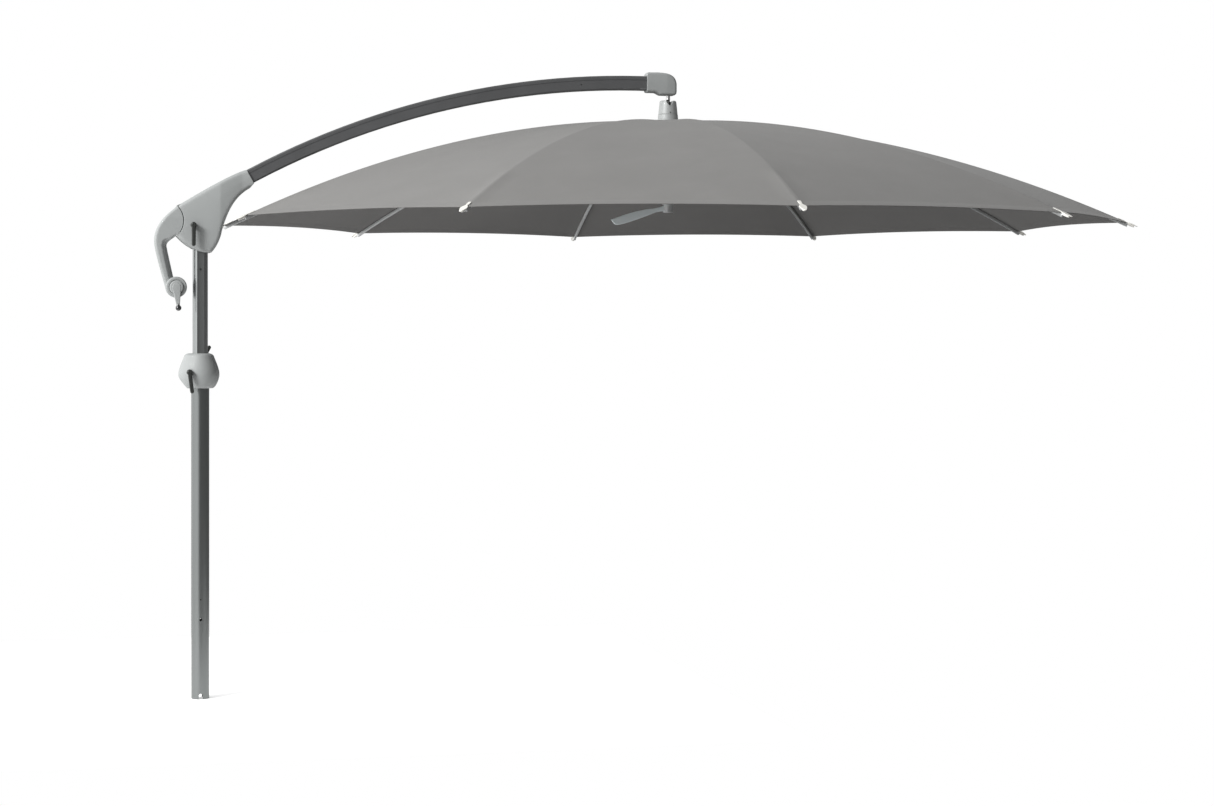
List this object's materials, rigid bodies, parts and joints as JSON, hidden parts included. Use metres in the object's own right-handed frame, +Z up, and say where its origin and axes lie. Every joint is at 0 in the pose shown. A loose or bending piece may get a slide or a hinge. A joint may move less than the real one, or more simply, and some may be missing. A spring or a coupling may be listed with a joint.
{
  "type": "cantilever parasol",
  "caption": "Round garden parasol hung from a curved arm on an offset mast, with a swivel collar, clamp levers, a winch crank, a tilting hub and a folding ribbed canopy.",
  "frame": {"origin": "centre of the lower mast tube's bottom end", "axes": "+Z up along the mast, +X along the arm from the mast to the canopy's hub, +Y by the right-hand rule"},
  "size_m": [3.5803, 3.5, 2.3047],
  "materials": {
    "mast_grey": "anodised, satin",
    "profile_grey": "anodised, satin",
    "nylon_black": "moulded nylon",
    "cast_grey": "fine satin powder coat",
    "casting_raw": "raw casting",
    "lever_black": "glass-filled nylon",
    "steel": "turned",
    "screw_black": "black oxide",
    "arm_dark": "dark grey anodised, satin",
    "rope_white": "braided polyester",
    "hub_silver": "pale silver coat",
    "frame_alu": "mill finish",
    "canopy_cloth": "woven acrylic, taupe grey",
    "handle_grey": "moulded plastic"
  },
  "bodies": {
    "ground_mast": {"lower_mast": "mast_grey", "mast_bush": "nylon_black"},
    "swivel_collar": {"collar_front": "cast_grey", "collar_rear": "cast_grey", "clamp_ring": "casting_raw"},
    "swivel_clamp": {"swivel_lever": "lever_black"},
    "height_clamp": {"height_lever": "lever_black"},
    "sliding_mast": {"upper_mast": "profile_grey", "slide_foot": "nylon_black", "mast_head": "casting_raw", "pitch_pivot": "steel"},
    "arm": {"housing_front": "cast_grey", "housing_rear": "cast_grey", "housing_screws": "screw_black", "arm_beam": "arm_dark", "arm_saddle": "casting_raw", "winch_arm": "cast_grey", "winch_cover": "cast_grey", "end_cap": "cast_grey", "pulley_pin": "steel", "hanger_stud": "steel", "hinge_knuckle": "lever_black", "hoist_rope": "rope_white"},
    "pitch_clamp": {"pitch_lever": "lever_black"},
    "crank": {"winch_drum": "casting_raw", "crank_lever": "cast_grey", "crank_knob": "lever_black"},
    "pulley": {"nose_pulley": "nylon_black"},
    "canopy_head": {"hinge_pins": "steel", "hub_cone": "hub_silver", "hub_base": "hub_silver", "cone_screws": "screw_black", "crown_ring": "frame_alu", "rib_pins": "steel", "canopy_cover": "canopy_cloth"},
    "rib_arm_1": {"rib_1": "frame_alu"},
    "rib_arm_2": {"rib_2": "frame_alu"},
    "rib_arm_3": {"rib_3": "frame_alu"},
    "rib_arm_4": {"rib_4": "frame_alu"},
    "rib_arm_5": {"rib_5": "frame_alu"},
    "rib_arm_6": {"rib_6": "frame_alu"},
    "rib_arm_7": {"rib_7": "frame_alu"},
    "rib_arm_8": {"rib_8": "frame_alu"},
    "rib_arm_9": {"rib_9": "frame_alu"},
    "rib_arm_10": {"rib_10": "frame_alu"},
    "strut_arm_1": {"strut_1": "frame_alu"},
    "strut_arm_2": {"strut_2": "frame_alu"},
    "strut_arm_3": {"strut_3": "frame_alu"},
    "strut_arm_4": {"strut_4": "frame_alu"},
    "strut_arm_5": {"strut_5": "frame_alu"},
    "strut_arm_6": {"strut_6": "frame_alu"},
    "strut_arm_7": {"strut_7": "frame_alu"},
    "strut_arm_8": {"strut_8": "frame_alu"},
    "strut_arm_9": {"strut_9": "frame_alu"},
    "strut_arm_10": {"strut_10": "frame_alu"},
    "runner": {"runner_hub": "frame_alu", "strut_pins": "steel", "rope_tail": "rope_white", "handle_pin": "steel"},
    "paddle": {"paddle_handle": "handle_grey"}
  },
  "joints": [
    {"name": "mast_swivel", "type": "hinge", "parent": "ground_mast", "child": "swivel_collar", "pos_m": [0, 0, 1.19], "axis": [0, 0, 1], "continuous": true},
    {"name": "mast_height", "type": "slide", "parent": "swivel_collar", "child": "sliding_mast", "axis": [0, 0, 1], "range_m": [-0.12, 0.15]},
    {"name": "swivel_lever_turn", "type": "hinge", "parent": "swivel_collar", "child": "swivel_clamp", "pos_m": [-0.042, -0.07, 1.184], "axis": [0, -1, 0], "range_deg": [0, 90]},
    {"name": "height_lever_turn", "type": "hinge", "parent": "swivel_collar", "child": "height_clamp", "pos_m": [0.005, 0.07, 1.21], "axis": [0, 1, 0], "range_deg": [0, 90]},
    {"name": "arm_pitch", "type": "hinge", "parent": "sliding_mast", "child": "arm", "pos_m": [-0.027, 0, 1.715], "axis": [0, 1, 0], "range_deg": [-3, 10]},
    {"name": "pitch_lever_turn", "type": "hinge", "parent": "arm", "child": "pitch_clamp", "pos_m": [-0.027, -0.06, 1.715], "axis": [0, -1, 0], "range_deg": [0, 90]},
    {"name": "canopy_tilt", "type": "hinge", "parent": "arm", "child": "canopy_head", "pos_m": [1.75, 0, 2.19], "axis": [1, 0, 0], "range_deg": [-30, 30]},
    {"name": "canopy_fold", "type": "hinge", "parent": "canopy_head", "child": "rib_arm_1", "pos_m": [1.7928, 0.01391, 2.104], "axis": [-0.309, 0.9511, 0], "range_deg": [0, 75], "deforming": ["canopy_cover"]},
    {"name": "rib_2_fold", "type": "hinge", "parent": "canopy_head", "child": "rib_arm_2", "pos_m": [1.77645, 0.03641, 2.104], "axis": [-0.809, 0.5878, 0], "range_deg": [0, 75]},
    {"name": "rib_3_fold", "type": "hinge", "parent": "canopy_head", "child": "rib_arm_3", "pos_m": [1.75, 0.045, 2.104], "axis": [-1, 0, 0], "range_deg": [0, 75]},
    {"name": "rib_4_fold", "type": "hinge", "parent": "canopy_head", "child": "rib_arm_4", "pos_m": [1.72355, 0.03641, 2.104], "axis": [-0.809, -0.5878, 0], "range_deg": [0, 75]},
    {"name": "rib_5_fold", "type": "hinge", "parent": "canopy_head", "child": "rib_arm_5", "pos_m": [1.7072, 0.01391, 2.104], "axis": [-0.309, -0.9511, 0], "range_deg": [0, 75]},
    {"name": "rib_6_fold", "type": "hinge", "parent": "canopy_head", "child": "rib_arm_6", "pos_m": [1.7072, -0.01391, 2.104], "axis": [0.309, -0.9511, 0], "range_deg": [0, 75]},
    {"name": "rib_7_fold", "type": "hinge", "parent": "canopy_head", "child": "rib_arm_7", "pos_m": [1.72355, -0.03641, 2.104], "axis": [0.809, -0.5878, 0], "range_deg": [0, 75]},
    {"name": "rib_8_fold", "type": "hinge", "parent": "canopy_head", "child": "rib_arm_8", "pos_m": [1.75, -0.045, 2.104], "axis": [1, 0, 0], "range_deg": [0, 75]},
    {"name": "rib_9_fold", "type": "hinge", "parent": "canopy_head", "child": "rib_arm_9", "pos_m": [1.77645, -0.03641, 2.104], "axis": [0.809, 0.5878, 0], "range_deg": [0, 75]},
    {"name": "rib_10_fold", "type": "hinge", "parent": "canopy_head", "child": "rib_arm_10", "pos_m": [1.7928, -0.01391, 2.104], "axis": [0.309, 0.9511, 0], "range_deg": [0, 75]},
    {"name": "strut_1_fold", "type": "hinge", "parent": "rib_arm_1", "child": "strut_arm_1", "pos_m": [2.46329, 0.23176, 2.02161], "axis": [-0.309, 0.9511, 0], "range_deg": [-150, 0]},
    {"name": "strut_2_fold", "type": "hinge", "parent": "rib_arm_2", "child": "strut_arm_2", "pos_m": [2.19084, 0.60676, 2.02161], "axis": [-0.809, 0.5878, 0], "range_deg": [-150, 0]},
    {"name": "strut_3_fold", "type": "hinge", "parent": "rib_arm_3", "child": "strut_arm_3", "pos_m": [1.75, 0.75, 2.02161], "axis": [-1, 0, 0], "range_deg": [-150, 0]},
    {"name": "strut_4_fold", "type": "hinge", "parent": "rib_arm_4", "child": "strut_arm_4", "pos_m": [1.30916, 0.60676, 2.02161], "axis": [-0.809, -0.5878, 0], "range_deg": [-150, 0]},
    {"name": "strut_5_fold", "type": "hinge", "parent": "rib_arm_5", "child": "strut_arm_5", "pos_m": [1.03671, 0.23176, 2.02161], "axis": [-0.309, -0.9511, 0], "range_deg": [-150, 0]},
    {"name": "strut_6_fold", "type": "hinge", "parent": "rib_arm_6", "child": "strut_arm_6", "pos_m": [1.03671, -0.23176, 2.02161], "axis": [0.309, -0.9511, 0], "range_deg": [-150, 0]},
    {"name": "strut_7_fold", "type": "hinge", "parent": "rib_arm_7", "child": "strut_arm_7", "pos_m": [1.30916, -0.60676, 2.02161], "axis": [0.809, -0.5878, 0], "range_deg": [-150, 0]},
    {"name": "strut_8_fold", "type": "hinge", "parent": "rib_arm_8", "child": "strut_arm_8", "pos_m": [1.75, -0.75, 2.02161], "axis": [1, 0, 0], "range_deg": [-150, 0]},
    {"name": "strut_9_fold", "type": "hinge", "parent": "rib_arm_9", "child": "strut_arm_9", "pos_m": [2.19084, -0.60676, 2.02161], "axis": [0.809, 0.5878, 0], "range_deg": [-150, 0]},
    {"name": "strut_10_fold", "type": "hinge", "parent": "rib_arm_10", "child": "strut_arm_10", "pos_m": [2.46329, -0.23176, 2.02161], "axis": [0.309, 0.9511, 0], "range_deg": [-150, 0]},
    {"name": "runner_level", "type": "hinge", "parent": "strut_arm_1", "child": "runner", "pos_m": [1.7928, 0.01391, 1.93922], "axis": [-0.309, 0.9511, 0], "range_deg": [0, 75]},
    {"name": "crank_turn", "type": "hinge", "parent": "arm", "child": "crank", "pos_m": [-0.087, 0, 1.491], "axis": [0, 1, 0], "range_deg": [0, 3150]},
    {"name": "pulley_turn", "type": "hinge", "parent": "arm", "child": "pulley", "pos_m": [1.732, 0, 2.258], "axis": [0, 1, 0], "range_deg": [0, 3945]},
    {"name": "handle_swing", "type": "hinge", "parent": "runner", "child": "paddle", "pos_m": [1.75, 0, 1.791], "axis": [0, -1, 0], "range_deg": [0, 75]}
  ],
  "couplings": [
    {"joint": "rib_2_fold", "follows": "canopy_fold", "ratio": 1},
    {"joint": "rib_3_fold", "follows": "canopy_fold", "ratio": 1},
    {"joint": "rib_4_fold", "follows": "canopy_fold", "ratio": 1},
    {"joint": "rib_5_fold", "follows": "canopy_fold", "ratio": 1},
    {"joint": "rib_6_fold", "follows": "canopy_fold", "ratio": 1},
    {"joint": "rib_7_fold", "follows": "canopy_fold", "ratio": 1},
    {"joint": "rib_8_fold", "follows": "canopy_fold", "ratio": 1},
    {"joint": "rib_9_fold", "follows": "canopy_fold", "ratio": 1},
    {"joint": "rib_10_fold", "follows": "canopy_fold", "ratio": 1},
    {"joint": "strut_1_fold", "follows": "canopy_fold", "ratio": -2},
    {"joint": "strut_2_fold", "follows": "canopy_fold", "ratio": -2},
    {"joint": "strut_3_fold", "follows": "canopy_fold", "ratio": -2},
    {"joint": "strut_4_fold", "follows": "canopy_fold", "ratio": -2},
    {"joint": "strut_5_fold", "follows": "canopy_fold", "ratio": -2},
    {"joint": "strut_6_fold", "follows": "canopy_fold", "ratio": -2},
    {"joint": "strut_7_fold", "follows": "canopy_fold", "ratio": -2},
    {"joint": "strut_8_fold", "follows": "canopy_fold", "ratio": -2},
    {"joint": "strut_9_fold", "follows": "canopy_fold", "ratio": -2},
    {"joint": "strut_10_fold", "follows": "canopy_fold", "ratio": -2},
    {"joint": "runner_level", "follows": "canopy_fold", "ratio": 1},
    {"joint": "crank_turn", "follows": "canopy_fold", "ratio": 42},
    {"joint": "pulley_turn", "follows": "canopy_fold", "ratio": 52.6}
  ]
}
